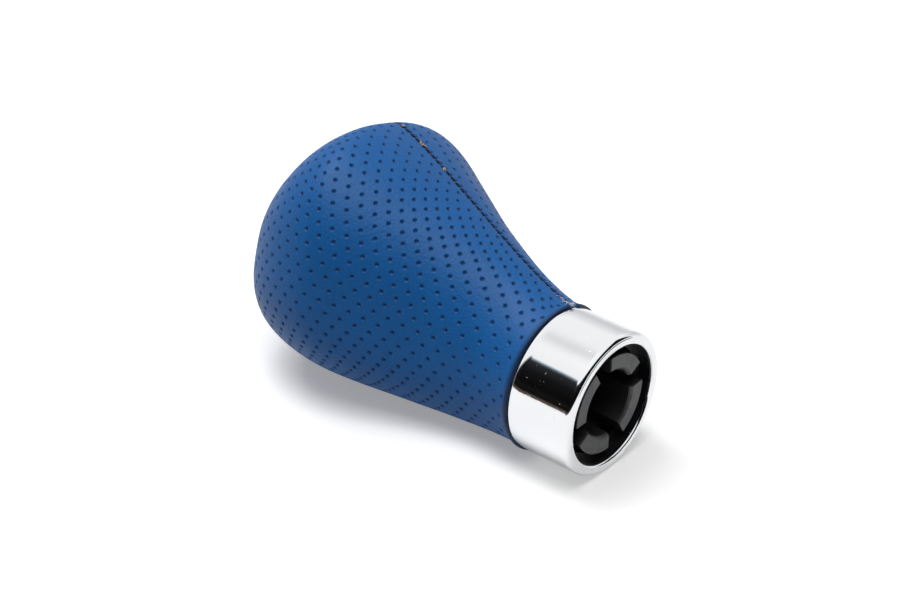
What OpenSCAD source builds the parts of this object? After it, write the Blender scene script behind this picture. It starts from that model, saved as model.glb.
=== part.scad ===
// Gear shift knob: a leather-covered head with a screwed collar and a clamping collet.
// Z is the axis of the gear lever, with the crown up, and X points to the side with the seam.
// The origin is on the axis, at the end of the collet's bore where the lever goes in.

/* [Head] */
// Height of the crown above the collar's mouth
head_h = 88; // [84:0.5:94]
// Reach of the seam side from the lever's axis
front_reach = 35.7; // [32:0.1:38]
// Height of that reach above the collar's mouth
front_h = 67; // [62:0.2:70]
// Reach of the palm side from the lever's axis
palm_reach = 16.2; // [16:0.2:22]
// Height of that reach above the collar's mouth
palm_h = 58.5; // [54:0.5:62]
// Half of the head's width, across the seam
side_reach = 26.3; // [24:0.1:28]
// Height of the widest place above the collar's mouth
side_h = 62; // [58:0.5:66]
// How far the highest point lies toward the seam side
crown_x = 2.3; // [0:0.1:6]
// Squareness of the sections: 2 is an ellipse
section_power = 2.5; // [2:0.05:2.6]

/* [Leather and seam] */
// Thickness of the leather
leather_t = 1.2; // [0.8:0.1:1.6]
// Half of the width of the groove where the edges meet
seam_half_w = 0.7; // [0.5:0.05:1]
// Depth of that groove
seam_depth = 0.6; // [0.3:0.05:0.7]
// Angle of the seam beside the middle of its side
seam_turn = 6.5; // [0:0.5:10]
// Distance from one stitch to the next
stitch_pitch = 1.7; // [1.5:0.1:3]
// Length of thread that shows at one stitch
stitch_len = 1.1; // [0.8:0.1:1.3]
// Diameter of the thread
thread_d = 0.5; // [0.3:0.05:0.6]
// How far the leather stands proud of the collar at its foot
foot_proud = 0.5; // [0:0.1:0.6]
// Radius of the edge where the leather turns in at its foot
foot_round = 0.9; // [0.5:0.1:1]

/* [Collar] */
// Outer diameter of the collar
collar_d = 30; // [29.6:0.2:33]
// Length of the collar
collar_len = 14.2; // [13.4:0.2:18]
// Thickness of the plated shell
shell_t = 0.9; // [0.7:0.1:1]
// Radius of the rounded front edge
edge_round = 1.3; // [1:0.1:1.5]
// Diameter of the mouth, inside the rolled lip
mouth_d = 25.2; // [24.8:0.1:25.8]
// Thickness of the rolled lip
lip_t = 1.2; // [1:0.1:1.4]
// Depth of the mouth around the collet's jaws
mouth_depth = 3.4; // [2.6:0.1:3.6]
// Gap between the collar's back edge and the leather
collar_gap = 0.2; // [0.15:0.05:0.4]

/* [Collet] */
// Diameter of the collet's bore, where the lever is held
lever_d = 14; // [13:0.1:14.4]
// Thickness of a jaw at its free end
jaw_t = 3.5; // [3:0.1:3.6]
// Number of jaws
jaw_count = 4; // [3:1:6]
// Width of the slots between the jaws, as an angle
jaw_slot = 27; // [20:1:32]
// Angle from the seam side to the middle of the first jaw
jaw_turn = 14; // [0:1:45]
// Size of the chamfer at the mouth of the bore
jaw_chamfer = 0.6; // [0.4:0.1:0.8]
// Distance from the collar's mouth to the ends of the jaws
jaw_recess = 1; // [0.6:0.1:1.6]
// Length of the solid ring that joins the jaws
collet_ring = 3; // [2:0.2:3]

/* [Sleeve] */
// Wall of the threaded neck
neck_t = 1.7; // [1.4:0.1:1.8]
// Travel of the collar while it unscrews
collar_travel = 5; // [3:0.5:5]
// Depth of the lever's hole above the collet's bore
lever_hole = 33; // [24:1:36]
// Wall of the sleeve inside the head
sleeve_t = 2; // [1.5:0.1:3]
// Number of grip rings on the sleeve
grip_rings = 3; // [1:1:4]

/* [Clearances] */
// Radial clearance where one piece slides or screws on another
running_gap = 0.3; // [0.3:0.05:0.35]
// Clearance between the thread and the groove that holds it
thread_gap = 0.1; // [0.05:0.01:0.12]

/* [Hidden] */
$fn = 96;
eps = 0.01;

// Heights in the frame, from the collar's mouth to its back edge
rim_z = -jaw_chamfer - jaw_recess;
back_z = rim_z + collar_len;
leather_z = back_z + collar_gap;
shelf_z = rim_z + mouth_depth;

// Radii, from the lever outwards
lever_r = lever_d / 2;
jaw_r = lever_r + jaw_t;
ridge_gap = 0.8;
ridge_r = jaw_r + ridge_gap;
stem_step = 0.1;
stem_r = jaw_r + stem_step;
neck_bore_r = stem_r + running_gap;
neck_r = neck_bore_r + neck_t;
nut_bore_r = neck_r + running_gap;
mouth_r = mouth_d / 2;
collar_r = max(collar_d / 2, mouth_r + lip_t + shell_t);
nut_r = collar_r - shell_t;

// The ridge in the nut and the cone above it, which press the jaws' shoulders together
ridge_h = 0.8;
cone_h = 2;
cone_w = 1.2;
cone_r = ridge_r + cone_w;
cone_z = shelf_z + ridge_h;
shoulder_r = cone_r - running_gap;
shoulder_z = cone_z + cone_h;
neck_z = shoulder_z + 2 * running_gap;

// The collet's ring ends inside the neck at the far end of the travel too
ring_z = neck_z + collar_travel;
collet_top = ring_z + collet_ring;
key_w = 1.8;
key_depth = 0.9;

// The sleeve's flange, which closes the neck above the collet, then its tube and closed end
flange_z = leather_z;
flange_least_t = 2.4;
flange_t = max(flange_least_t, collet_top + running_gap + neck_t - flange_z);
flange_step = 0.4;
flange_r = neck_r + flange_step;
hole_r = lever_r + 0.5;
tube_r = hole_r + sleeve_t;
hole_top = collet_top + running_gap + lever_hole;
tube_top = hole_top + sleeve_t;
grip_t = 1.6;
grip_w = 1.4;

// Grids of the head: rings from the collar to the widest place, on to the crown, and columns
lower_rings = 22;
upper_rings = 20;
side_columns = 30;
coarse = 2;

// Curves of the head: each is a start direction, then four handles, as shares of the rise
// to its reach (two), of the rise from there to the crown, and of the way in to the crown
crown_z = rim_z + head_h;
front_curve = [6.5, 0.2, 0.14, 0.31, 0.37];
palm_curve = [2.5, 0.19, 0.24, 0.74, 0.62];
side_curve = [-19.5, 0.48, 0.18, 0.61, 0.51];
crown_slope = 0.07;
squaring_h = 52;

// One point of a cubic curve
function cubic(a, b, c, d, t) =
    pow(1 - t, 3) * a + 3 * pow(1 - t, 2) * t * b + 3 * (1 - t) * t * t * c + pow(t, 3) * d;

// A guide runs from the collar (u = 0) to its reach (u = 1) and on to the crown (u = 2)
function guide(u, reach, height, curve, tip_x, slope) =
    let (foot = [collar_r, leather_z], wide = [reach, rim_z + height], tip = [tip_x, crown_z],
         rise = wide[1] - foot[1], dome = tip[1] - wide[1], way_in = reach - tip_x)
    u <= 1
    ? cubic(foot, foot + curve[1] * rise * [sin(curve[0]), cos(curve[0])],
            wide - [0, curve[2] * rise], wide, u)
    : cubic(wide, wide + [0, curve[3] * dome], tip + curve[4] * way_in * [1, -slope], tip, u - 1);

function front_at(u) = guide(u, front_reach, front_h, front_curve, crown_x, crown_slope);
function palm_at(u) = guide(u, palm_reach, palm_h, palm_curve, -crown_x, -crown_slope);
function side_at(u) = guide(u, side_reach, side_h, side_curve, 0, 0);

// A section is an ellipse at the collar, and squarer in the head
function power_at(z) =
    let (k = min(1, max(0, (z - leather_z) / squaring_h)))
    2 + (section_power - 2) * k * k * (3 - 2 * k);

// One point of the head's outer surface, at guide parameter u and angle a
function skin(u, a) =
    let (f = front_at(u), p = palm_at(u), s = side_at(u),
         e = power_at(s[1]),
         n = pow(pow(abs(cos(a)), e) + pow(abs(sin(a)), e), -1 / e),
         mid = (f[0] - p[0]) / 2,
         half = (f[0] + p[0]) / 2,
         end_z = cos(a) > 0 ? f[1] : p[1])
    [mid + half * cos(a) * n, s[0] * sin(a) * n, s[1] + (end_z - s[1]) * pow(cos(a), 2)];

// The outward normal there; at the collar it is level, so that the foot stays flat
function unit(v) = v / norm(v);
function skin_normal(u, a) =
    let (du = skin(min(2, u + 0.004), a) - skin(max(0, u - 0.004), a),
         da = skin(u, a + 0.2) - skin(u, a - 0.2),
         n = unit(cross(da, du)))
    u < 0.001 ? unit([n[0], n[1], 0]) : n;

// The seam runs up from the collar and ends on the crown's shoulder
seam_end = 1.62;
function seam_fade(u) = min(1, max(0, (seam_end - u) / 0.12));
groove_least_r = 4;
function groove_angle(u) = seam_half_w / max(groove_least_r, front_at(u)[0]) * 180 / PI;

// Angles of a ring's points, counted from the seam, with the groove's edges beside it
function ring_angles(u, columns, groove) =
    let (g = groove_angle(u), s = seam_turn)
    groove
    ? concat([s, s + g], [for (i = [1 : 2 * columns - 1]) s + 180 * i / columns], [s - g])
    : [for (i = [0 : 2 * columns - 1]) s + 180 * i / columns];

// The foot stands proud of the collar, and its edge is rounded where it turns in
proud_h = 4;
function foot_sink(u) =
    let (h = side_at(u)[1] - leather_z, k = min(1, h / proud_h), r = max(0, foot_round - h))
    foot_round - sqrt(foot_round * foot_round - r * r) - foot_proud * (1 - k * k * (3 - 2 * k));

function ring(u, inset, columns, groove) =
    let (angles = ring_angles(u, columns, groove), foot = groove ? foot_sink(u) : 0)
    [for (i = [0 : len(angles) - 1])
        let (sink = inset + foot + (groove && i == 0 ? seam_depth * seam_fade(u) : 0))
        skin(u, angles[i]) - sink * skin_normal(u, angles[i])];

// The rings' parameters, from the collar (0) to the crown (2), with more around the foot's edge
foot_params = [0, 0.004, 0.008, 0.013, 0.025];
function ring_params(step) =
    concat([for (i = [0 : step : lower_rings - 1]) i / lower_rings],
           [for (i = [0 : step : upper_rings - 1]) 1 + i / upper_rings]);
outer_params = concat(foot_params, [for (u = ring_params(1)) if (u > 0) u]);

function flat_list(rows) = [for (row = rows) for (p = row) p];

// Faces between the rings of a grid, clockwise from outside, or reversed for an inner wall
function wall_faces(rings, n, start, inward) =
    [for (r = [0 : rings - 2]) for (i = [0 : n - 1]) for (half = [0, 1])
        let (j = (i + 1) % n,
             a = start + r * n + i, b = start + r * n + j,
             c = start + (r + 1) * n + j, d = start + (r + 1) * n + i,
             tri = half == 0 ? [a, d, c] : [a, c, b])
        inward ? [tri[2], tri[1], tri[0]] : tri];

function cap_faces(n, start, tip, inward) =
    [for (i = [0 : n - 1])
        let (tri = [start + i, tip, start + (i + 1) % n])
        inward ? [tri[2], tri[1], tri[0]] : tri];

crown_point = [crown_x, 0, crown_z];
inner_columns = side_columns / coarse;
inner_n = 2 * inner_columns;
inner_params = ring_params(coarse);
inner_rings = len(inner_params);
inner_points = flat_list([for (u = inner_params) ring(u, leather_t, inner_columns, false)]);
inner_tip = crown_point - [0, 0, leather_t];

// The leather: an outer skin with the seam's groove, an inner skin, and a flat foot between
module leather_cover() {
    outer_n = 2 * side_columns + 2;
    outer_points = flat_list([for (u = outer_params) ring(u, 0, side_columns, true)]);
    outer_count = len(outer_points);
    tips = outer_count + len(inner_points);
    last_outer = outer_count - outer_n;
    last_inner = tips - inner_n;
    // The foot joins each inner point to the outer points around it
    foot = foot_faces(outer_n, outer_count);
    color([0.07, 0.24, 0.5])
        polyhedron(
            points = concat(outer_points, inner_points, [crown_point, inner_tip]),
            faces = concat(
                wall_faces(len(outer_params), outer_n, 0, false),
                cap_faces(outer_n, last_outer, tips, false),
                wall_faces(inner_rings, inner_n, outer_count, true),
                cap_faces(inner_n, last_inner, tips + 1, true),
                foot),
            convexity = 4);
}

// Outer point i lies over inner point i / coarse, with the groove's two edges left out
function outer_index(k) = k == 0 ? 0 : k + 1;
function foot_faces(outer_n, base) =
    concat(
        [[0, 1, base], [1, outer_index(1), base],
         [outer_n - 1, 0, base], [outer_n - 2, outer_n - 1, base]],
        [for (i = [0 : inner_n - 1]) for (k = [0 : coarse])
            let (a = base + i, b = base + (i + 1) % inner_n,
                 first = i * coarse + k,
                 p = outer_index(first % (2 * side_columns)),
                 q = outer_index((first + 1) % (2 * side_columns)))
            if (k < coarse && first != 0 && first != 2 * side_columns - 1)
                k == 0 ? [p, q, a] : [p, q, b]],
        [for (i = [0 : inner_n - 1])
            let (p = outer_index(i * coarse + 1))
            [p, base + (i + 1) % inner_n, base + i]]);

// The space that the sleeve fills in the core
module sleeve_space() {
    translate([0, 0, flange_z - eps])
        cylinder(r = flange_r, h = flange_t + eps);
    translate([0, 0, flange_z])
        cylinder(r = tube_r, h = tube_top - flange_z);
    for (i = [1 : grip_rings])
        translate([0, 0, grip_height(i)])
            cylinder(r = tube_r + grip_t, h = grip_w);
}

function grip_height(i) =
    flange_z + flange_t + i * (tube_top - flange_z - flange_t) / (grip_rings + 1);

// The core: a rigid moulded body, cast around the sleeve and covered by the leather
module moulded_core() {
    floor_face = [for (i = [0 : inner_n - 1]) i];
    color([0.12, 0.12, 0.13])
        difference() {
            polyhedron(
                points = concat(inner_points, [inner_tip]),
                faces = concat(
                    wall_faces(inner_rings, inner_n, 0, false),
                    cap_faces(inner_n, len(inner_points) - inner_n, len(inner_points), false),
                    [floor_face]),
                convexity = 3);
            sleeve_space();
        }
}

// The sleeve: a neck with the collar's thread, a flange, and a tube that takes the lever
module lever_sleeve() {
    color([0.16, 0.16, 0.17]) {
        difference() {
            union() {
                translate([0, 0, neck_z])
                    cylinder(r = neck_r, h = flange_z - neck_z + eps);
                translate([0, 0, flange_z])
                    cylinder(r = flange_r, h = flange_t);
                translate([0, 0, flange_z])
                    cylinder(r = tube_r, h = tube_top - flange_z);
                for (i = [1 : grip_rings])
                    translate([0, 0, grip_height(i)])
                        cylinder(r = tube_r + grip_t, h = grip_w);
            }
            translate([0, 0, neck_z - 1])
                cylinder(r = neck_bore_r, h = collet_top + running_gap - neck_z + 1);
            translate([0, 0, collet_top])
                cylinder(r = hole_r, h = hole_top - collet_top);
        }
        for (side = [0, 180])
            rotate(slot_angle(0) + side)
                sleeve_key();
    }
}

// A key runs down the neck's bore in a slot of the collet, and stops it from turning
module sleeve_key() {
    key_len = collet_top + running_gap - neck_z - running_gap;
    translate([0, 0, neck_z + running_gap])
        intersection() {
            translate([neck_bore_r - key_depth, -key_w / 2, 0])
                cube([key_depth + neck_t / 2, key_w, key_len + eps]);
            cylinder(r = neck_bore_r + neck_t / 2, h = key_len + eps);
        }
}

function slot_angle(i) = jaw_turn + (i + 0.5) * 360 / jaw_count;

// The collet: a ring with jaws that the nut's cone presses onto the lever
module collet() {
    color([0.1, 0.1, 0.105])
        difference() {
            rotate_extrude()
                polygon([
                    [lever_r + jaw_chamfer, -jaw_chamfer],
                    [jaw_r, -jaw_chamfer],
                    [jaw_r, cone_z],
                    [shoulder_r, shoulder_z - running_gap],
                    [shoulder_r, shoulder_z],
                    [stem_r, shoulder_z],
                    [stem_r, collet_top],
                    [lever_r, collet_top],
                    [lever_r, 0]
                ]);
            for (i = [0 : jaw_count - 1])
                rotate(slot_angle(i))
                    jaw_gap();
            for (side = [0, 180])
                rotate(slot_angle(0) + side)
                    translate([stem_r - key_depth, -key_w / 2 - running_gap, ring_z - eps])
                        cube([key_depth + 1, key_w + 2 * running_gap, collet_ring + 1]);
        }
}

// A slot is a wedge from the axis outwards, below the collet's ring
module jaw_gap() {
    reach = 2 * shoulder_r;
    half = reach * tan(jaw_slot / 2);
    translate([0, 0, -jaw_chamfer - 1])
        linear_extrude(ring_z + jaw_chamfer + 1)
            polygon([[0, 0], [reach, -half], [reach, half]]);
}

// The nut: a black ring fixed in the shell, with the ridge, the cone and the thread's bore
module collar_nut() {
    color([0.05, 0.05, 0.055])
        rotate_extrude()
            polygon([
                [mouth_r, rim_z + lip_t],
                [nut_r, rim_z + lip_t],
                [nut_r, back_z],
                [nut_bore_r, back_z],
                [nut_bore_r, shoulder_z],
                [cone_r, shoulder_z],
                [ridge_r, cone_z],
                [ridge_r, shelf_z],
                [mouth_r, shelf_z]
            ]);
}

// The shell: a plated tube with a rounded front edge and a rolled lip around the mouth
module chrome_collar() {
    color([0.85, 0.86, 0.88])
        rotate_extrude()
            difference() {
                union() {
                    translate([collar_r - edge_round, rim_z + edge_round])
                        circle(r = edge_round);
                    translate([mouth_r + lip_t / 2, rim_z])
                        square([collar_r - edge_round - mouth_r - lip_t / 2, collar_len]);
                    translate([mouth_r + lip_t / 2, rim_z + edge_round])
                        square([collar_r - mouth_r - lip_t / 2, collar_len - edge_round]);
                    translate([mouth_r + lip_t / 2, rim_z + lip_t / 2])
                        circle(d = lip_t);
                }
                translate([0, rim_z + lip_t])
                    square([nut_r, collar_len]);
            }
}

// The seam's path along the bottom of the groove, as distances and points
seam_params = [for (u = outer_params) if (u < seam_end - 0.1) u];
seam_normals = [for (u = seam_params) skin_normal(u, seam_turn)];
seam_points = [for (i = [0 : len(seam_params) - 1])
    skin(seam_params[i], seam_turn)
    - (seam_depth + foot_sink(seam_params[i])) * seam_normals[i]];
function running_length(points, i = 0, sum = 0) =
    i == len(points) - 1
    ? [sum]
    : concat([sum], running_length(points, i + 1, sum + norm(points[i + 1] - points[i])));
seam_lengths = running_length(seam_points);
seam_total = seam_lengths[len(seam_lengths) - 1];
function along(s, values) =
    [for (k = [0, 1, 2]) lookup(s, [for (i = [0 : len(values) - 1]) [seam_lengths[i], values[i][k]]])];

// The thread: one short stitch after another, down in the groove
module seam_thread() {
    wall = atan(seam_half_w / seam_depth);
    lift = thread_d / 2 / sin(wall) + thread_gap;
    count = floor((seam_total - stitch_pitch) / stitch_pitch);
    color([0.03, 0.05, 0.12])
        for (i = [0 : count - 1]) {
            s = stitch_pitch * (i + 0.8);
            dir = unit(along(s + stitch_len / 2, seam_points) - along(s - stitch_len / 2, seam_points));
            middle = along(s, seam_points) + lift * unit(along(s, seam_normals));
            translate(middle)
                rotate([0, acos(dir[2]), atan2(dir[1], dir[0])])
                    cylinder(d = thread_d, h = stitch_len, center = true, $fn = 8);
        }
}

moulded_core();
lever_sleeve();
leather_cover();
seam_thread();
collet();
collar_nut();
chrome_collar();
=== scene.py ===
import math

import bpy
import numpy as np
from mathutils import Matrix, Vector
from mathutils.geometry import delaunay_2d_cdt


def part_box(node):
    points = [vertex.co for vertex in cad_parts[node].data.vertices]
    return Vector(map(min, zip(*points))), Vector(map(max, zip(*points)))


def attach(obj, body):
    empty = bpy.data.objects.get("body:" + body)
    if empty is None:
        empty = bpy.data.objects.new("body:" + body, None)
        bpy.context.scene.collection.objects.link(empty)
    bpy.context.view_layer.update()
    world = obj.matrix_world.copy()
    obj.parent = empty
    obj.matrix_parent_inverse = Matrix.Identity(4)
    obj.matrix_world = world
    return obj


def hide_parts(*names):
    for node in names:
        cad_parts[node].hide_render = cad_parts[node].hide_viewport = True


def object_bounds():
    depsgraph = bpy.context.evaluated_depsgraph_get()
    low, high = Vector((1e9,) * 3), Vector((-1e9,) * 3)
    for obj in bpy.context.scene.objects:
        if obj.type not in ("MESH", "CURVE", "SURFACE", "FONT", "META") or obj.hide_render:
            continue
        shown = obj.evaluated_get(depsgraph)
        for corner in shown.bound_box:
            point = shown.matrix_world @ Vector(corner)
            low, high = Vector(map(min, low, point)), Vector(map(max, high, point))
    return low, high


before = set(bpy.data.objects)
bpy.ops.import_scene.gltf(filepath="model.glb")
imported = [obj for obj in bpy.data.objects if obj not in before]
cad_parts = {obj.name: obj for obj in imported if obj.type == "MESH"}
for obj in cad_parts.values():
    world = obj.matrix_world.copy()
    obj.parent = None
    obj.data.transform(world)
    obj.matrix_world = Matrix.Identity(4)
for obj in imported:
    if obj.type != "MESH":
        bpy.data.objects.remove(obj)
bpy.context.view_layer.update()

MM = 0.001
scene = bpy.context.scene
scene.view_settings.view_transform = "Standard"


# The camera looks at the knob as it lies on its palm side, so it stands below the upright
# part and to its seam side. The picture's up direction is near the part's own +X.
camera_place = Vector((141.42, -311.68, -181.94)) * MM
camera_aim = Vector((13.89, -19.54, 24.92)) * MM
picture_up = Vector((0.9232, 0.1536, 0.3523))
camera_lens = 78.26
sensor_width = 36.0

camera_data = bpy.data.cameras.new("photo_camera")
camera_data.lens = camera_lens
camera_data.sensor_width = sensor_width
camera_data.clip_start = 0.01
camera = bpy.data.objects.new("photo_camera", camera_data)
scene.collection.objects.link(camera)


def looking(place, aim, up):
    """The turned and moved frame of something at place that looks at aim, with up above it."""
    back = (place - aim).normalized()
    right = up.cross(back).normalized()
    turned = Matrix((right, back.cross(right), back)).transposed().to_4x4()
    return Matrix.Translation(place) @ turned


camera.matrix_world = looking(camera_place, camera_aim, picture_up)
scene.camera = camera


# The studio: the table that the knob lies on, a plain floor for the views in which it stands
# up, two soft lamps above the table, and a painted dome that only bright metal mirrors.
table_up = Vector((0.968, -0.249, 0.040)).normalized()
table_drop = 15.08 * MM
room_side = (camera_place - camera_place.dot(table_up) * table_up).normalized()
room_right = table_up.cross(room_side)
floor_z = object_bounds()[0].z - 0.3 * MM
table_half = 6.0
paper_white = 0.84
paper_bounce = 0.62
mirrored_glow = 0.55
dome_radius = 0.75
lamp_distance = 1.4
lamp_width = 0.8
lamp_aim = Vector((0, 0, 0.04))
ambient = 0.1


def add_node(tree, kind, inputs=None, **settings):
    """Adds a node. An input given as a socket is linked, and any other is set on the node."""
    made = tree.nodes.new(kind)
    for name, value in settings.items():
        setattr(made, name, value)
    for name, value in (inputs or {}).items():
        if isinstance(value, bpy.types.NodeSocket):
            tree.links.new(value, made.inputs[name])
        else:
            made.inputs[name].default_value = value
    return made


def room_direction(azimuth, elevation):
    """A direction in the room: azimuth 0 is towards the camera and 90 to its right."""
    turn, lift = float(np.radians(azimuth)), float(np.radians(elevation))
    level = math.cos(turn) * room_side + math.sin(turn) * room_right
    return math.cos(lift) * level + math.sin(lift) * table_up


def stage_mesh(name, corners, faces, material):
    """A flat or faceted thing of the studio, which isn't part of the object."""
    mesh = bpy.data.meshes.new(name)
    mesh.from_pydata([tuple(corner) for corner in corners], [], faces)
    mesh.materials.append(material)
    made = bpy.data.objects.new(name, mesh)
    scene.collection.objects.link(made)
    return made


def one_sided_white(name, albedo, glow):
    """White paper seen from its front only. It is darker for diffuse rays, so that it lights
    the knob less, and it glows a little for the camera and less in reflections."""
    made = bpy.data.materials.new(name)
    made.use_nodes = True
    tree = made.node_tree
    tree.nodes.clear()
    path = add_node(tree, "ShaderNodeLightPath")
    white = add_node(tree, "ShaderNodeMapRange", {"Value": path.outputs["Is Diffuse Ray"],
                                                  "To Min": albedo,
                                                  "To Max": paper_bounce * albedo})
    paper = add_node(tree, "ShaderNodeBsdfDiffuse", {"Color": white.outputs[0]})
    seen = add_node(tree, "ShaderNodeMath", {0: path.outputs["Is Camera Ray"], 1: glow},
                    operation="MULTIPLY")
    mirrored = add_node(tree, "ShaderNodeMath", {0: path.outputs["Is Glossy Ray"],
                                                 1: mirrored_glow * glow, 2: seen.outputs[0]},
                        operation="MULTIPLY_ADD")
    shine = add_node(tree, "ShaderNodeEmission", {"Strength": mirrored.outputs[0]})
    both = add_node(tree, "ShaderNodeAddShader", {0: paper.outputs[0], 1: shine.outputs[0]})
    side = add_node(tree, "ShaderNodeNewGeometry")
    clear = add_node(tree, "ShaderNodeBsdfTransparent")
    shown = add_node(tree, "ShaderNodeMixShader", {0: side.outputs["Backfacing"],
                                                   1: both.outputs[0], 2: clear.outputs[0]})
    add_node(tree, "ShaderNodeOutputMaterial", {"Surface": shown.outputs[0]})
    return made


def quad(middle, across, along, half):
    """The corners of a square around middle, counter-clockwise about across x along."""
    return [middle + half * (i * across + j * along)
            for i, j in ((-1, -1), (1, -1), (1, 1), (-1, 1))]


def hide_from(made, *rays):
    """Leaves a thing of the studio out for these kinds of ray."""
    for ray in rays:
        setattr(made, "visible_" + ray, False)


table = stage_mesh("table", quad(-table_drop * table_up, room_side, room_right, table_half),
                   [(0, 1, 2, 3)], one_sided_white("table_paper", paper_white, 0.3))
hide_from(table, "shadow", "transmission")

floor_corners = quad(Vector((0, 0, floor_z)), Vector((1, 0, 0)), Vector((0, 1, 0)), table_half)
floor = stage_mesh("floor", floor_corners, [(0, 1, 2, 3)],
                   one_sided_white("floor_paper", paper_white, 0.55))
hide_from(floor, "diffuse", "glossy", "shadow", "transmission")


def in_steps(lift, *rows):
    """A colour that runs in straight lines between rows. Each row is an elevation in degrees,
    then red, green and blue."""
    rows = np.array(rows)
    return np.stack([np.interp(lift, rows[:, 0], rows[:, i]) for i in (1, 2, 3)], -1)


def room_colour(turn, lift):
    """What bright metal mirrors at a turn and a lift in degrees: a white room with a grey far
    wall and a dull patch of ceiling, and on the camera's side a dark end of the room above
    the brown edge of a table."""
    dull_turn, dull_lift, far_from, dark_from, dark_to = -130, 63, 122, -85, 119
    far = in_steps(lift, (-4, 0.95, 0.95, 0.95), (1, 0.8, 0.8, 0.81), (8, 0.66, 0.66, 0.68),
                   (14, 0.7, 0.7, 0.72), (25, 0.86, 0.86, 0.87), (33, 1, 1, 1))
    dark = in_steps(lift, (-3.6, 0.8, 0.78, 0.76), (-2.4, 0.27, 0.21, 0.18),
                    (-1.5, 0.2, 0.15, 0.13), (-1.1, 0.012, 0.008, 0.006),
                    (-0.5, 0.012, 0.008, 0.006), (0, 0.11, 0.07, 0.055),
                    (2.3, 0.08, 0.055, 0.045), (3.2, 0.003, 0.003, 0.003), (9, 0.009, 0.008, 0.008),
                    (14, 0.003, 0.003, 0.003), (30, 0.008, 0.008, 0.008), (40, 0.022, 0.024, 0.027),
                    (42, 0.09, 0.11, 0.14), (43.5, 0.4, 0.46, 0.54), (45, 1, 1, 1))
    patch = 0.24 * np.exp(-((turn - dull_turn) / 22)**2 - ((lift - dull_lift) / 8)**2)
    colour = np.ones(turn.shape + (3,)) - patch[..., None]
    at_far = np.clip((np.abs(turn) - far_from) / 6, 0, 1)[..., None]
    colour = colour + at_far * (far - 1)
    at_dark = np.clip((turn - dark_from) / 2, 0, 1) * np.clip((dark_to - turn) / 2, 0, 1)
    at_dark = at_dark[..., None]
    return np.clip(colour + at_dark * (dark - colour), 0, 1)


def mirrored_room():
    """A dome over the table, seen by glossy rays only. Its painted colours are kept on the
    points, which stand closest where the paint changes fast."""
    lifts = np.concatenate([np.linspace(-4, 4, 25), np.linspace(5, 40, 15),
                            np.linspace(41, 49, 17), np.linspace(52, 89, 14)])
    turns = np.linspace(-180, 180, 181)
    lift, turn = np.meshgrid(lifts, turns, indexing="ij")
    level = (np.cos(np.radians(turn))[..., None] * np.array(room_side)
             + np.sin(np.radians(turn))[..., None] * np.array(room_right))
    rise = np.radians(lift)[..., None]
    corners = dome_radius * (np.cos(rise) * level + np.sin(rise) * np.array(table_up))
    r, c = np.meshgrid(np.arange(len(lifts) - 1), np.arange(len(turns) - 1), indexing="ij")
    first = r * len(turns) + c
    faces = np.stack([first, first + 1, first + len(turns) + 1, first + len(turns)], -1)
    made = bpy.data.materials.new("room_paint")
    made.use_nodes = True
    made.node_tree.nodes.clear()
    paint = add_node(made.node_tree, "ShaderNodeAttribute", {}, attribute_name="room_colour")
    shine = add_node(made.node_tree, "ShaderNodeEmission", {"Color": paint.outputs["Color"]})
    add_node(made.node_tree, "ShaderNodeOutputMaterial", {"Surface": shine.outputs[0]})
    dome = stage_mesh("mirrored_room", corners.reshape(-1, 3), faces.reshape(-1, 4).tolist(), made)
    colours = np.concatenate([room_colour(turn, lift), np.ones(turn.shape + (1,))], -1)
    dome.data.attributes.new("room_colour", "FLOAT_COLOR", "POINT").data.foreach_set(
        "color", colours.ravel().astype(np.float32))
    hide_from(dome, "camera", "diffuse", "shadow", "transmission")


mirrored_room()

world = bpy.data.worlds.new("white_room")
world.use_nodes = True
scene.world = world
world_tree = world.node_tree
world_tree.nodes.clear()
world_path = add_node(world_tree, "ShaderNodeLightPath")
seen_or_mirrored = add_node(world_tree, "ShaderNodeMath",
                            {0: world_path.outputs["Is Camera Ray"],
                             1: world_path.outputs["Is Glossy Ray"]}, operation="MAXIMUM")
seen_at_all = add_node(world_tree, "ShaderNodeMath",
                       {0: seen_or_mirrored.outputs[0],
                        1: world_path.outputs["Is Transmission Ray"]}, operation="MAXIMUM")
world_strength = add_node(world_tree, "ShaderNodeMath",
                          {0: seen_at_all.outputs[0], 1: 1 - ambient, 2: ambient},
                          operation="MULTIPLY_ADD")
sky = add_node(world_tree, "ShaderNodeBackground",
               {"Color": (1, 1, 1, 1), "Strength": world_strength.outputs[0]})
add_node(world_tree, "ShaderNodeOutputWorld", {"Surface": sky.outputs[0]})


def soft_lamp(name, azimuth, elevation, power):
    """A square soft lamp in the room, turned to the knob."""
    data = bpy.data.lights.new(name, "AREA")
    data.shape = "SQUARE"
    data.size = lamp_width
    data.energy = power
    made = bpy.data.objects.new(name, data)
    scene.collection.objects.link(made)
    made.matrix_world = looking(lamp_distance * room_direction(azimuth, elevation), lamp_aim,
                                room_side)


soft_lamp("ceiling_lamp", azimuth=0, elevation=73, power=10.5)
soft_lamp("left_lamp", azimuth=-115, elevation=68, power=11.0)


# The core: a rigid body moulded in one shot around the sleeve, dark and matt as it comes
# from the mould. The leather hides it, apart from its foot when the collar is unscrewed.
core_colour = (0.032, 0.032, 0.034)


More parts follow.
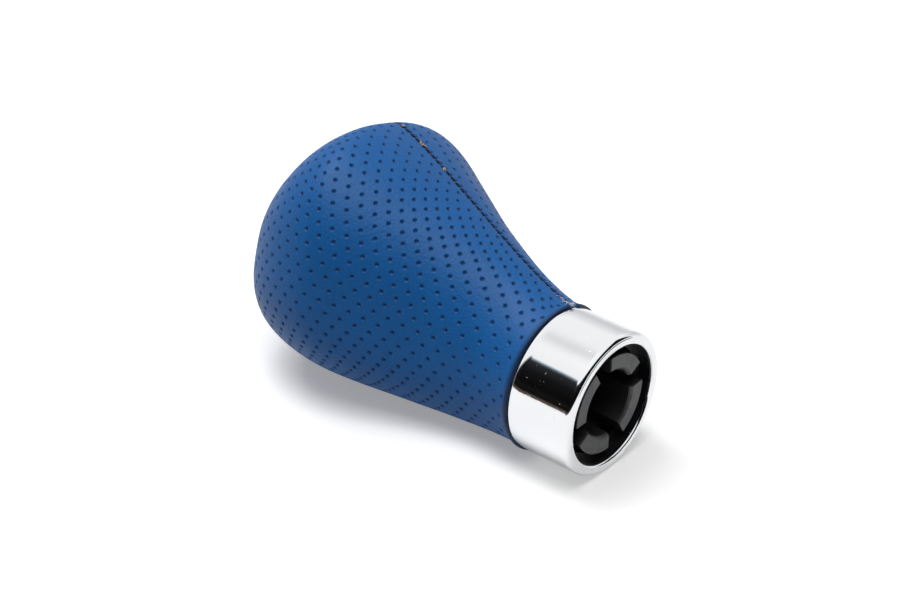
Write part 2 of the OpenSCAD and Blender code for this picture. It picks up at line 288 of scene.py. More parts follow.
def grain_group():
    """A group that gives a fine grain and a slow mottle, both from 0 to 1, of moulded stuff."""
    made = bpy.data.node_groups.new("fine_grain", "ShaderNodeTree")
    for name in ("Grain Scale", "Mottle Scale"):
        made.interface.new_socket(name=name, in_out="INPUT", socket_type="NodeSocketFloat")
    for name in ("Grain", "Mottle"):
        made.interface.new_socket(name=name, in_out="OUTPUT", socket_type="NodeSocketFloat")
    given = add_node(made, "NodeGroupInput")
    place = add_node(made, "ShaderNodeTexCoord")
    fine = add_node(made, "ShaderNodeTexNoise", {"Vector": place.outputs["Object"],
                                                 "Scale": given.outputs["Grain Scale"],
                                                 "Detail": 3.0})
    slow = add_node(made, "ShaderNodeTexNoise", {"Vector": place.outputs["Object"],
                                                 "Scale": given.outputs["Mottle Scale"],
                                                 "Detail": 2.0})
    add_node(made, "NodeGroupOutput", {"Grain": fine.outputs[0], "Mottle": slow.outputs[0]})
    return made


fine_grain = grain_group()


def grained(tree, grain, mottle):
    """The group of grain and mottle in a material, with its two scales."""
    return add_node(tree, "ShaderNodeGroup", {"Grain Scale": grain, "Mottle Scale": mottle},
                    node_tree=fine_grain)


def mixed(tree, factor, first, second):
    """A colour that goes from the first to the second as the factor goes from 0 to 1."""
    return add_node(tree, "ShaderNodeMix", {"Factor": factor, 6: first, 7: second},
                    data_type="RGBA").outputs[2]


def shader_of(name, colour, roughness, metallic=0.0):
    """A new material, its node tree, and its Principled shader with these plain values."""
    made = bpy.data.materials.new(name)
    made.use_nodes = True
    tree = made.node_tree
    shader = tree.nodes["Principled BSDF"]
    shader.inputs["Base Color"].default_value = (*colour, 1)
    shader.inputs["Roughness"].default_value = roughness
    shader.inputs["Metallic"].default_value = metallic
    return made, tree, shader


def moulded(name, colour, roughness, grain=2500.0, mottle=160.0, bump=0.02):
    """A moulded plastic: its colour and gloss vary slowly, and its skin has a fine grain."""
    made, tree, shader = shader_of(name, colour, roughness)
    skin_of = grained(tree, grain, mottle)
    darker, paler = [c * 0.75 for c in colour], [min(1, c * 1.3) for c in colour]
    tint = mixed(tree, skin_of.outputs["Mottle"], (*darker, 1), (*paler, 1))
    tree.links.new(tint, shader.inputs["Base Color"])
    gloss = add_node(tree, "ShaderNodeMapRange", {"Value": skin_of.outputs["Mottle"],
                                                  "To Min": roughness - 0.08,
                                                  "To Max": roughness + 0.08})
    tree.links.new(gloss.outputs[0], shader.inputs["Roughness"])
    relief = add_node(tree, "ShaderNodeBump", {"Height": skin_of.outputs["Grain"],
                                               "Strength": 0.6, "Distance": bump * MM})
    tree.links.new(relief.outputs[0], shader.inputs["Normal"])
    return made


def finish_node(name, material):
    """Gives a CAD node one material."""
    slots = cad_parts[name].data.materials
    slots.clear()
    slots.append(material)


finish_node("moulded_core", moulded("core_plastic", core_colour, 0.7, bump=0.05))


# The sleeve: a filled nylon moulding with the collar's screw thread on its neck. The thread
# is cut as one fine ridge that winds up the neck, two millimetres for each turn.
sleeve_plastic = moulded("sleeve_nylon", (0.03, 0.03, 0.032), 0.45)
finish_node("lever_sleeve", sleeve_plastic)
neck_r = 12.6 * MM
thread_pitch = 2.0 * MM
thread_rise = 0.22 * MM
thread_root = 0.5 * MM
thread_from = 6.0 * MM
thread_turns = 3
thread_steps = 96
thread_taper = 0.6


def mesh_piece(name, points, faces, material, body, smooth=True):
    """A new piece from its points and faces, which rides on a body and has a finish slot."""
    mesh = bpy.data.meshes.new(name)
    mesh.from_pydata(points.reshape(-1, 3).tolist(), [], faces)
    mesh.materials.append(material)
    mesh.polygons.foreach_set("use_smooth", np.full(len(mesh.polygons), smooth))
    made = bpy.data.objects.new(name, mesh)
    scene.collection.objects.link(made)
    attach(made, body)
    return made


def tube_faces(rings, sides):
    """Faces of a tube of rings, with a flat cap on each end, pointing outwards."""
    r, s = np.meshgrid(np.arange(rings - 1), np.arange(sides), indexing="ij")
    a, b = r * sides + s, r * sides + (s + 1) % sides
    walls = np.stack([a, b, b + sides, a + sides], -1).reshape(-1, 4).tolist()
    return walls + [list(range(sides))[::-1], list(range((rings - 1) * sides, rings * sides))]


def neck_thread():
    """A ridge of triangular section carried along a helix, sunk at its root, tapering out."""
    turn = np.linspace(0, 2 * np.pi * thread_turns, thread_turns * thread_steps + 1)[:, None]
    ends = np.clip(np.minimum(turn, turn[-1] - turn) / thread_taper, 0.02, 1)
    out = np.array([[-0.1, 1, -0.1]]) * thread_rise * ends
    up = np.array([[0.5, 0, -0.5]]) * thread_root * ends
    radius = neck_r + out
    height = thread_from + thread_pitch * turn / (2 * np.pi) + up
    return np.stack([radius * np.cos(turn), radius * np.sin(turn), height], -1)


neck_points = neck_thread()
mesh_piece("neck_thread", neck_points, tube_faces(len(neck_points), 3), sleeve_plastic,
           "root", smooth=False)


# The leather cover: one piece of blue leather with rows of pressed dimples, wrapped around
# the core and glued, with its edges butted along the seam and turned in above the collar.
leather_z = 12.8 * MM
crown_z = 86.4 * MM
collar_r = 15.0 * MM
leather_t = 1.2 * MM
crown_x = 2.3 * MM
seam_turn = np.radians(6.5)
seam_end = 1.62
rim_z = -1.6 * MM
section_power = 2.5
squaring_h = 52 * MM
foot_proud = 0.5 * MM
foot_round = 0.9 * MM
proud_h = 4.0 * MM


def cubic(a, b, c, d, t):
    """A cubic curve from a to d at t, pulled towards the handles b and c."""
    t = t[..., None]
    return (1 - t)**3 * a + 3 * (1 - t)**2 * t * b + 3 * (1 - t) * t * t * c + t**3 * d


def guide(u, reach, height, curve, tip_x, slope):
    """A side of the head as distance from the axis and height: one curve from the collar to
    the reach (u from 0 to 1), and one on to the crown (u from 1 to 2). The curve's handles
    are shares of the rise to the reach, of the rise above it, and of the way in."""
    foot = np.array([collar_r, leather_z])
    wide = np.array([reach * MM, rim_z + height * MM])
    tip = np.array([tip_x, crown_z])
    lean = np.radians(curve[0])
    rise, dome, way_in = wide[1] - foot[1], tip[1] - wide[1], wide[0] - tip[0]
    start = foot + curve[1] * rise * np.array([np.sin(lean), np.cos(lean)])
    low = cubic(foot, start, wide - np.array([0, curve[2] * rise]), wide, np.clip(u, 0, 1))
    top = cubic(wide, wide + np.array([0, curve[3] * dome]),
                tip + curve[4] * way_in * np.array([1, -slope]), tip, np.clip(u - 1, 0, 1))
    return np.where((u <= 1)[..., None], low, top)


def front_at(u):
    """The seam side."""
    return guide(u, 35.7, 67.0, (6.5, 0.2, 0.14, 0.31, 0.37), crown_x, 0.07)


def palm_at(u):
    """The side that lies in the palm."""
    return guide(u, 16.2, 58.5, (2.5, 0.19, 0.24, 0.74, 0.62), -crown_x, -0.07)


def side_at(u):
    """The two flanks between them."""
    return guide(u, 26.3, 62.0, (-19.5, 0.48, 0.18, 0.61, 0.51), 0.0, 0.0)


def smooth_step(k):
    """0 below 0, 1 above 1, and an even curve between."""
    k = np.clip(k, 0, 1)
    return k * k * (3 - 2 * k)


def skin(u, a):
    """The outer surface: at each u a squarish ellipse through the four guides, at angle a."""
    f, p, s = front_at(u), palm_at(u), side_at(u)
    power = 2 + (section_power - 2) * smooth_step((s[..., 1] - leather_z) / squaring_h)
    c, d = np.abs(np.cos(a)) + 1e-12, np.abs(np.sin(a)) + 1e-12
    size = (c**power + d**power)**(-1 / power)
    end_z = np.where(np.cos(a) > 0, f[..., 1], p[..., 1])
    x = (f[..., 0] - p[..., 0]) / 2 + (f[..., 0] + p[..., 0]) / 2 * np.cos(a) * size
    y = s[..., 0] * np.sin(a) * size
    z = s[..., 1] + (end_z - s[..., 1]) * np.cos(a)**2
    return np.stack([x, y, z], -1)


def skin_normal(u, a):
    """The outward normal, from the surface's two directions; level at the foot."""
    step = 0.002
    up = skin(np.minimum(2, u + step), a) - skin(np.maximum(0, u - step), a)
    around = skin(u, a + step) - skin(u, a - step)
    n = np.cross(around, up)
    n[..., 2] = np.where(u < 1e-4, 0, n[..., 2])
    n = np.where((u > 1.995)[..., None], np.array([0, 0, 1.0]), n)
    return n / np.linalg.norm(n, axis=-1, keepdims=True)


# The flat leather has two coordinates: up, along the flank from the foot to the crown, and
# around, from the middle of the palm side to the seam on either side.
table_u = np.linspace(0, 2, 401)
table_phi = np.linspace(0, np.pi, 241)
flank = side_at(table_u)
flank_up = np.concatenate([[0], np.cumsum(np.linalg.norm(np.diff(flank, axis=0), axis=1))])


def around_table(sign):
    """Distance around from the palm side's middle, for each u and each angle from there."""
    u, phi = np.meshgrid(table_u, table_phi, indexing="ij")
    points = skin(u, seam_turn + np.pi + sign * phi)
    steps = np.linalg.norm(np.diff(points, axis=1), axis=2)
    return np.concatenate([np.zeros((len(table_u), 1)), np.cumsum(steps, axis=1)], axis=1)


def angle_table(sign):
    """The half girth at each u, and the angle at even shares of it."""
    run = around_table(sign)
    girth = run[:, -1]
    shares = np.linspace(0, 1, len(table_phi))
    rows = [np.interp(shares, r / max(r[-1], 1e-9), table_phi) for r in run]
    rows[-1] = np.pi * shares
    return girth, np.array(rows)


girth_left, angle_left = angle_table(1)
girth_right, angle_right = angle_table(-1)


def half_girth(up, side):
    """Half of the girth at a height on the flank, on the side where around is + or -."""
    u = np.interp(up, flank_up, table_u)
    left = np.interp(u, table_u, girth_left)
    right = np.interp(u, table_u, girth_right)
    return np.where(side >= 0, left, right)


def on_head(up, around):
    """The surface's u and angle for flat coordinates: the girth's share gives the angle, read
    between the four nearest entries of the table."""
    u = np.interp(up, flank_up, table_u)
    share = np.clip(np.abs(around) / np.maximum(half_girth(up, around), 1e-9), 0, 1)
    r = np.clip(u / 2 * (len(table_u) - 1), 0, len(table_u) - 1.001)
    c = np.clip(share * (len(table_phi) - 1), 0, len(table_phi) - 1.001)
    r0, c0 = r.astype(int), c.astype(int)
    fr, fc = r - r0, c - c0
    angle = 0
    for table, mask in ((angle_left, around >= 0), (angle_right, around < 0)):
        read = ((1 - fr) * ((1 - fc) * table[r0, c0] + fc * table[r0, c0 + 1])
                + fr * ((1 - fc) * table[r0 + 1, c0] + fc * table[r0 + 1, c0 + 1]))
        angle = angle + np.where(mask, read, 0)
    return u, seam_turn + np.pi + np.where(around >= 0, 1, -1) * angle


# The dimples: square rows pressed into the flat leather, which lie aslant on the head. The
# leather was drawn over the round head, so its rows drift smoothly from the regular grid.
# The rows' values are in millimetres.
sheet_origin = np.array([41.17, 30.05])
dimple_across = np.array([2.659, 1.175])
dimple_along = np.array([-1.512, 1.831])
push_width = 17
push_around = np.linspace(2, 86, 6)
push_up = np.linspace(-4, 70, 5)
rows_across = (-70, 41)
rows_along = (-60, 61)
pushes = np.array([
    [[0.7, -3], [-4.3, 5.5], [4, 0], [2.1, 1.8], [5.9, -3.2]],
    [[8.7, -9.7], [-2.8, 0.6], [-3.1, -1.6], [-0.6, -2.3], [-4.1, -4.9]],
    [[0, 0.6], [0.8, 1.3], [0.7, 1.1], [5.1, 4.9], [-14.3, 3.1]],
    [[0.5, 5.9], [3, -2.9], [-5.7, -3], [10.7, -1.8], [-0.2, 1.2]],
    [[-1.7, 4.3], [-3.9, 4.2], [-6.6, 3.1], [-3.3, -4.7], [-4.3, -0.8]],
    [[-1.4, 1.1], [1.9, 1.8], [11.2, 2.3], [6.1, 0.3], [-0.9, -0.6]]])
dimple_r = 0.62 * MM
dimple_depth = 0.36 * MM
dimple_rings = ((0.3, 8), (0.55, 12), (0.8, 12), (1.0, 12))
dimple_foot_gap = 2.0 * MM
dimple_crown_gap = 2.5 * MM
slack_depth = 0.012 * MM
seam_half_w = 0.7 * MM
seam_depth = 0.6 * MM
seam_lines = np.array([1.05, 0.9, 0.76, 0.62, 0.48, 0.34, 0.2, 0.1]) * MM
seam_step = 0.3 * MM
seam_fade = 0.12
stitch_pitch = 1.7 * MM
first_stitch = 0.8 * stitch_pitch
needle_side = 0.6 * MM
needle_r = 0.4 * MM
needle_depth = 0.3 * MM
seam_run = np.linspace(0, flank_up[-1], 1200)
seam_u = np.interp(seam_run, flank_up, table_u)
seam_skin = skin(seam_u, seam_turn + 0 * seam_u)
seam_length = np.concatenate([[0], np.cumsum(np.linalg.norm(np.diff(seam_skin, axis=0), axis=1))])
foot_lines = np.array([0.15, 0.35, 0.6, 0.9, 1.3]) * MM
foot_line_points = 140
plain_gap = 0.4 * MM
foot_parts = 120
seam_parts = 132
inner_rows = 16


def sheet(i, j):
    """Where point (i, j) of the flat leather's rows comes to lie: a regular slanting grid,
    and soft pushes that fade away from their centres. The result is around and up."""
    flat = sheet_origin + i[..., None] * dimple_across + j[..., None] * dimple_along
    near_around = np.exp(-((flat[..., :1] - push_around) / push_width)**2 / 2)
    near_up = np.exp(-((flat[..., 1:] - push_up) / push_width)**2 / 2)
    flat = flat + np.einsum("...i,...j,ijk->...k", near_around, near_up, pushes)
    return flat.reshape(-1, 2) * MM


def place(flat):
    """The point of the smooth outer surface at flat coordinates around and up."""
    return skin(*on_head(flat[..., 1], flat[..., 0]))


def directions(flat):
    """How the point moves for each metre around and for each metre up, over a short step."""
    step = 0.1 * MM
    return [(place(flat + d) - place(flat - d)) / (2 * step) for d in step * np.eye(2)]


def foot_sink(u):
    """How far the surface lies in from the head's form at its foot: a rounded edge, less the
    amount by which the foot stands proud."""
    h = side_at(u)[..., 1] - leather_z
    r = np.maximum(0, foot_round - h)
    return foot_round - np.sqrt(foot_round**2 - r**2) - foot_proud * (1 - smooth_step(h / proud_h))


def seam_room(flat):
    """Distance to the seam on the point's own side."""
    return half_girth(flat[..., 1], flat[..., 0]) - np.abs(flat[..., 0])


def slack(flat):
    """The slight unevenness of leather over a core: a sum of slow waves, in metres."""
    waves = [(0.31, 0.17, 0.4), (-0.19, 0.33, 1.9), (0.47, -0.28, 3.1), (0.12, 0.55, 5.0)]
    total = 0
    for over, along, phase in waves:
        total = total + np.sin((over * flat[..., 0] + along * flat[..., 1]) / MM + phase)
    return slack_depth * total


def unit(v):
    """Vectors of length one."""
    return v / np.maximum(np.linalg.norm(v, axis=-1, keepdims=True), 1e-12)


def lattice(step):
    """Row and column numbers over the whole sheet, this far apart."""
    return np.meshgrid(np.arange(*rows_across, step), np.arange(*rows_along, step), indexing="ij")


def dimples():
    """Every dimple's points: its centre and four circles, round on the head, with the depth
    (1 - r^2)^2 at r from the centre to the rim, and that slope's outward push on the normal."""
    centre = sheet(*lattice(1.0))
    centre = centre[centre[:, 1] > dimple_foot_gap]
    centre = centre[centre[:, 1] < flank_up[-1] - dimple_crown_gap]
    centre = centre[seam_room(centre) > seam_lines[0] + dimple_r + 0.1 * MM]
    over, along = directions(centre)
    g00, g01, g11 = [(p * q).sum(-1) for p, q in ((over, over), (over, along), (along, along))]
    root = np.sqrt(g00 * g11 - g01**2)
    metric = np.stack([g00 + root, g01, g01, g11 + root], -1).reshape(-1, 2, 2)
    to_flat = np.linalg.inv(metric / np.sqrt(g00 + g11 + 2 * root)[:, None, None])
    flat, depth, tilt = [centre], [np.full(len(centre), dimple_depth)], [0 * over]
    for r, count in dimple_rings:
        turn = np.linspace(0, 2 * np.pi, count, endpoint=False)
        ring = np.stack([np.cos(turn), np.sin(turn)], -1)
        offset = np.einsum("nij,kj->nki", to_flat, ring)
        outward = unit(offset[..., :1] * over[:, None] + offset[..., 1:] * along[:, None])
        flat.append((centre[:, None] + r * dimple_r * offset).reshape(-1, 2))
        depth.append(np.full(len(centre) * count, dimple_depth * (1 - r * r)**2))
        slope = 4 * dimple_depth / dimple_r * r * (1 - r * r)
        tilt.append((-slope * outward).reshape(-1, 3))
    return np.concatenate(flat), np.concatenate(depth), np.concatenate(tilt)


def plain_points():
    """Points between the dimples, along the seam's two sides, and around the rounded foot."""
    i, j = lattice(0.5)
    between = (i % 1 > 0) | (j % 1 > 0)
    fill = sheet(i[between], j[between])
    fill = fill[(fill[:, 1] > 1.8 * MM) & (fill[:, 1] < flank_up[-1] - 1 * MM)]
    fill = fill[seam_room(fill) > seam_lines[0] + plain_gap]
    up = np.interp(np.arange(1 * MM, seam_length[-1] - 2 * MM, seam_step), seam_length, seam_run)
    lines = []
    for side in (1, -1):
        reach = half_girth(up, side * np.ones(len(up)))
        for line in seam_lines:
            lines.append(np.stack([side * (reach - line), up], -1)[reach > line + 1 * MM])
    around = np.linspace(-1, 1, foot_line_points)
    for height in foot_lines:
        girth = half_girth(height, around) - seam_lines[0] - plain_gap
        lines.append(np.stack([around * girth, height + 0 * around], -1))
    return np.concatenate([fill] + lines)


def border():
    """The leather's cut edge in flat coordinates: the foot, then up one side of the seam to
    the crown and down its other side."""
    foot = np.linspace(-1, 1, foot_parts + 1)
    foot = np.stack([foot * half_girth(0.0, foot), 0 * foot], -1)
    up = np.linspace(0, flank_up[-1], seam_parts + 1)[1:-1]
    right = np.stack([half_girth(up, np.ones(len(up))), up], -1)
    left = np.stack([-half_girth(up, -np.ones(len(up))), up], -1)
    return foot, right, np.array([[0, flank_up[-1]]]), left[::-1]


def needle_holes(flat):
    """How deep the needle's holes press the leather beside the seam, from 0 to 1: cups of
    (1 - r^2)^2, half a pitch from the middles of the stitches, on both sides."""
    s = np.interp(flat[:, 1], seam_run, seam_length)
    apart = (s - first_stitch) % stitch_pitch - stitch_pitch / 2
    r2 = (apart**2 + (seam_room(flat) - needle_side)**2) / needle_r**2
    return np.where(r2 < 1, (1 - np.minimum(r2, 1))**2, 0)


def outer_skin(flat, pit_depth, pit_tilt):
    """The head's surface, sunk along its normal by the dimples, the groove, the needle holes,
    the rounded foot and the slack. Each of the steeper slopes tilts the shading normal. The
    marks are values for the material, each with the value that the inner skin gets."""
    u, angle = on_head(flat[:, 1], flat[:, 0])
    base = skin_normal(u, angle)
    over, along = directions(flat)
    toward_seam = unit(over) * np.sign(flat[:, :1])
    room = seam_room(flat)
    fade = smooth_step((seam_end - u) / seam_fade)
    groove = np.clip(1 - room / seam_half_w, 0, 1) * fade
    sloping = (groove > 0) & (groove < 0.98)
    tilt = pit_tilt + (sloping * fade * seam_depth / seam_half_w)[:, None] * toward_seam
    holes = needle_holes(flat) * fade
    step = 0.05 * MM
    for direction, move in ((over, (step, 0)), (along, (0, step))):
        rise = (needle_holes(flat + move) - needle_holes(flat - move)) / (2 * step)
        length = np.maximum(np.linalg.norm(direction, axis=1), 0.05)
        tilt += (fade * needle_depth * rise / length)[:, None] * unit(direction)
    sink = pit_depth + groove * seam_depth + holes * needle_depth + foot_sink(u) + slack(flat)
    bend = np.clip(1 - (side_at(u)[:, 1] - leather_z) / foot_round, 0, 1)[:, None]
    normal = base * np.sqrt(1 - bend**2) - unit(along) * bend + tilt
    # The pit mark, the dimples' depth share plus the needle holes, sets the painted shade of these
    # hollows in the leather's colour.
    marks = {"pit": (pit_depth / dimple_depth + 1.5 * holes, 0.0),
             # The foot's distance sets the painted shade at the foot.
             "seam_distance": (room / MM, 9.0), "foot_distance": (flat[:, 1] / MM, 9.0)}
    return skin(u, angle) - sink[:, None] * base, base, normal, marks


def inner_skin():
    """A plain skin one leather's thickness below the head's surface: rings from the foot up,
    and a tip at the crown. Its faces are numbered from its own first point."""
    shares = np.linspace(-1, 1, foot_parts + 1)[:-1]
    rows = np.linspace(0, flank_up[-1], inner_rows + 1)[:-1]
    up, share = np.meshgrid(rows, shares, indexing="ij")
    u, angle = on_head(up, share * half_girth(up, share))
    normal = skin_normal(u, angle)
    rings = skin(u, angle) - leather_t * normal
    tip = place(np.array([0, flank_up[-1]])) - np.array([0, 0, leather_t])
    r, c = np.meshgrid(np.arange(inner_rows - 1), np.arange(foot_parts), indexing="ij")
    after = (c + 1) % foot_parts
    walls = np.stack([r * foot_parts + c, (r + 1) * foot_parts + c,
                      (r + 1) * foot_parts + after, r * foot_parts + after], -1).reshape(-1, 4)
    top, last = (inner_rows - 1) * foot_parts, np.full(foot_parts, inner_rows * foot_parts)
    cap = np.stack([top + c[0], last, top + after[0]], -1)
    return (np.concatenate([rings.reshape(-1, 3), tip[None]]),
            np.concatenate([-normal.reshape(-1, 3), [[0, 0, -1.0]]]), walls, cap)


def leather_mesh():
    """The outer skin is triangulated in flat coordinates, bent on to the head and closed along
    the seam, where both sides share the right side's points. This folds two triangles at the
    seam's tip on to each other, so they are left out, and so are points that no face uses. The
    inner skin lies below, and the faces of the foot join the two."""
    foot_edge, right_edge, tip_edge, left_edge = border()
    edge = np.concatenate([foot_edge, right_edge, tip_edge, left_edge])
    pits, pit_depth, pit_tilt = dimples()
    plain = plain_points()
    flat = np.concatenate([edge, pits, plain])
    triangles = delaunay_2d_cdt([Vector(point) for point in flat / MM], [],
                                [list(range(len(edge)))], 1, 1e-7)
    source = np.array([found[0] if found else 0 for found in triangles[3]])
    outer_faces = source[np.array([list(face) for face in triangles[2]])]
    around_pits = (len(edge), len(plain))
    points, base, normal, marks = outer_skin(flat, np.pad(pit_depth, around_pits),
                                             np.pad(pit_tilt, (around_pits, (0, 0))))
    inner, inner_normals, walls, cap = inner_skin()

    first = len(flat)
    foot = np.arange(foot_parts)
    foot_faces = np.stack([foot, first + foot, first + (foot + 1) % foot_parts, foot + 1], -1)
    side = np.arange(len(right_edge))
    right = foot_parts + 1 + side
    joined = np.arange(first + len(inner))
    joined[foot_parts + 1 + 2 * len(side) - side] = right
    joined[0] = foot_parts
    normal[right] = base[right]

    outer = joined[outer_faces]
    _, which, times = np.unique(np.sort(outer, axis=1), axis=0, return_inverse=True,
                                return_counts=True)
    groups = [outer[times[which.ravel()] == 1], first + walls, first + cap, joined[foot_faces]]
    used = np.unique(np.concatenate([group.ravel() for group in groups]))
    number = np.zeros(len(joined), int)
    number[used] = np.arange(len(used))
    faces = [face for group in groups for face in number[group].tolist()]
    marks = {mark: np.concatenate([values, np.full(len(inner), inside)])[used]
             for mark, (values, inside) in marks.items()}
    return (np.concatenate([points, inner])[used], faces,
            unit(np.concatenate([normal, inner_normals])[used]), marks)


leather_points, leather_faces, leather_normals, leather_marks = leather_mesh()


def marked(tree, mark, start, end, below, colour):
    """The colour below, changed to this one as a mark of the mesh goes from start to end."""
    seen = add_node(tree, "ShaderNodeAttribute", {}, attribute_name=mark)
    mask = add_node(tree, "ShaderNodeMapRange", {"Value": seen.outputs["Fac"], "From Min": start,
                                                 "From Max": end})
    return mixed(tree, mask.outputs[0], below, (*colour, 1))


def leather_material():
    """Blue leather: pebbled grain, slow changes of shade and gloss, darker where it is sewn along
    the seam, and painted shade in the dimples, in the needle holes and at the turned-in foot."""
    made, tree, shader = shader_of("blue_leather", (0.002, 0.09, 0.31), 0.5)
    shader.inputs["Specular IOR Level"].default_value = 0.24
    place = add_node(tree, "ShaderNodeTexCoord")
    pebble = add_node(tree, "ShaderNodeTexVoronoi", {"Vector": place.outputs["Object"],
                                                     "Scale": 1900.0})
    creases = add_node(tree, "ShaderNodeTexNoise", {"Vector": place.outputs["Object"],
                                                    "Scale": 900.0, "Detail": 4.0})
    skin_of = grained(tree, 5200.0, 95.0)
    shade = mixed(tree, skin_of.outputs["Mottle"], (0.001, 0.087, 0.297, 1),
                  (0.002, 0.105, 0.349, 1))
    # Painted shade: the dimples and the needle holes are darkened by their depth, as the shade
    # inside these hollows.
    pit_painted_shade = marked(tree, "pit", 0.04, 0.8, shade, (0.0005, 0.027, 0.11))
    sewn = marked(tree, "seam_distance", 0.34, 0.08, pit_painted_shade, (0.001, 0.018, 0.06))
    # Painted shade: darker over the last two millimetres towards the foot, as the shade on its
    # rounded edge by the collar.
    foot_painted_shade = marked(tree, "foot_distance", 2.0, 0.1, sewn, (0.001, 0.012, 0.04))
    tree.links.new(foot_painted_shade, shader.inputs["Base Color"])
    gloss = add_node(tree, "ShaderNodeMapRange", {"Value": skin_of.outputs["Mottle"],
                                                  "To Min": 0.42, "To Max": 0.53})
    tree.links.new(gloss.outputs[0], shader.inputs["Roughness"])
    grain = add_node(tree, "ShaderNodeMath", {0: pebble.outputs["Distance"], 1: 0.6,
                                              2: creases.outputs[0]}, operation="MULTIPLY_ADD")
    relief = add_node(tree, "ShaderNodeBump", {"Height": grain.outputs[0], "Strength": 0.8,
                                               "Distance": 0.09 * MM})
    micro = add_node(tree, "ShaderNodeBump", {"Height": skin_of.outputs["Grain"], "Strength": 0.4,
                                              "Distance": 0.012 * MM,
                                              "Normal": relief.outputs[0]})
    tree.links.new(micro.outputs[0], shader.inputs["Normal"])
    return made


leather = mesh_piece("dimpled_leather", leather_points, leather_faces, leather_material(),
                     "root")
for mark, values in leather_marks.items():
    leather.data.attributes.new(mark, "FLOAT", "POINT").data.foreach_set(
        "value", values.astype(np.float32))
leather.data.normals_split_custom_set_from_vertices(leather_normals.tolist())
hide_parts("leather_cover")


# The seam's thread: dark polyester, sewn with a curved needle through both turned edges. What
# shows is a row of short slanting stitches down in the groove.
thread_material = moulded("seam_thread", (0.004, 0.018, 0.06), 0.6, grain=9000.0)
stitch_len = 1.3 * MM
stitch_slant = 0.42 * MM
stitch_arch = 0.36 * MM
stitch_fall = 0.2 * MM
ply_r = 0.15 * MM
ply_twist = 2.4
stitch_sides = 6
stitch_steps = 9
seam_up = skin_normal(seam_u, seam_turn + 0 * seam_u)
seam_floor = seam_skin - (seam_depth + foot_sink(seam_u))[:, None] * seam_up
sewn_length = np.interp(seam_end - seam_fade, seam_u, seam_length)


def along_seam(s, rows):
    """A row of vectors along the seam, read at the distances s from the collar."""
    return np.stack([np.interp(s, seam_length, rows[:, i]) for i in range(3)], -1)


def seam_frame(s):
    """At distances along the seam: the floor, the outward, forward and sideways directions."""
    floor_at = along_seam(s, seam_floor)
    out = along_seam(s, seam_up)
    out /= np.linalg.norm(out, axis=-1, keepdims=True)
    ahead = along_seam(s + 0.2 * MM, seam_floor) - along_seam(s - 0.2 * MM, seam_floor)
    ahead /= np.linalg.norm(ahead, axis=-1, keepdims=True)
    return floor_at, out, ahead, np.cross(out, ahead)


def tubes(paths, radii, sides):
    """Round tubes along many paths at once: paths has one row of points for each tube."""
    tangent = np.gradient(paths, axis=1)
    tangent /= np.linalg.norm(tangent, axis=-1, keepdims=True)
    aside = np.cross(tangent, np.array([0.36, 0.48, 0.8]))
    aside /= np.linalg.norm(aside, axis=-1, keepdims=True)
    over = np.cross(tangent, aside)
    turn = np.linspace(0, 2 * np.pi, sides, endpoint=False)
    ring = np.cos(turn)[:, None] * aside[:, :, None] + np.sin(turn)[:, None] * over[:, :, None]
    points = paths[:, :, None] + radii[:, :, None, None] * ring
    single = tube_faces(paths.shape[1], sides)
    count = paths.shape[1] * sides
    faces = [[v + n * count for v in face] for n in range(len(paths)) for face in single]
    return points, faces


def stitches():
    """Each stitch is two plies twisted once around a low arch over the groove's floor, which
    falls towards its ends with the fourth power of the way from its middle."""
    count = int((sewn_length - stitch_pitch) / stitch_pitch)
    middle = first_stitch + stitch_pitch * np.arange(count)
    t = np.linspace(-1, 1, stitch_steps)
    floor_at, out, _, aside = seam_frame(middle[:, None] + stitch_len / 2 * t)
    lift = (stitch_arch - stitch_fall * t**4)[:, None] * out
    slant = stitch_slant * t[:, None] * aside
    plies = []
    for phase in (0, np.pi):
        twist = phase + ply_twist * t
        offset = ply_r * 0.8 * (np.cos(twist)[:, None] * out + np.sin(twist)[:, None] * aside)
        plies.append(floor_at + lift + offset + slant)
    paths = np.concatenate(plies)
    return tubes(paths, np.full(paths.shape[:2], ply_r), stitch_sides)


stitch_points, stitch_faces = stitches()
thread = mesh_piece("seam_stitches", stitch_points, stitch_faces, thread_material, "root")
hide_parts("seam_thread")


# Raw bits: where the leather's cut edges stand open, its tan flesh side shows as small curls,
# and at the foot a few pale fibres of the backing stick out beside the seam.
curl_steps = 7
curl_sides = 6
flesh_spots = np.array([[49.1, 48.6, 41.4, 40.9, 55.2], [0.2, 0.0, 0.3, 0.35, 0.1]]) * MM
fibre_spots = np.array([[0.7, 0.6, 1.5, 2.4, 3.6], [1.9, 0.9, 1.2, 0.8, 0.6]]) * MM


def curls(spots, each, reach, thick, seed):
    """Short bent strands that taper to both ends. From random points around each spot, given
    as a place along the seam and one across it, each strand goes its own way along, across
    and up from the leather, and curls back down."""
    random = np.random.default_rng(seed)
    count = each * spots.shape[1]
    t = np.linspace(0, 1, curl_steps)
    s = np.repeat(spots[0], each) + random.normal(0, 0.25 * MM, count)
    floor_at, out, ahead, aside = seam_frame(s)
    side = np.repeat(spots[1], each) + random.normal(0, 0.16 * MM, count)
    above = 0.45 * MM + 0.1 * random.random((count, 1)) * MM
    start = floor_at + side[:, None] * aside + above * out
    way = random.normal(0, 1, (count, 2))
    way = way[:, :1] * ahead + way[:, 1:] * aside
    way = reach * unit(way) * random.uniform(0.5, 1, (count, 1))
    bend = reach * 0.35 * random.normal(0, 1, (count, 1)) * np.cross(out, unit(way))
    rise = reach * random.uniform(0.1, 0.4, (count, 1)) * out
    paths = (start[:, None] + t[:, None] * way[:, None] + (t * t)[:, None] * bend[:, None]
             + np.sin(np.pi * t)[:, None] * rise[:, None])
    width = thick * random.uniform(0.6, 1.2, (count, 1)) * (0.25 + 0.75 * np.sin(np.pi * t))
    return tubes(paths, width, curl_sides)


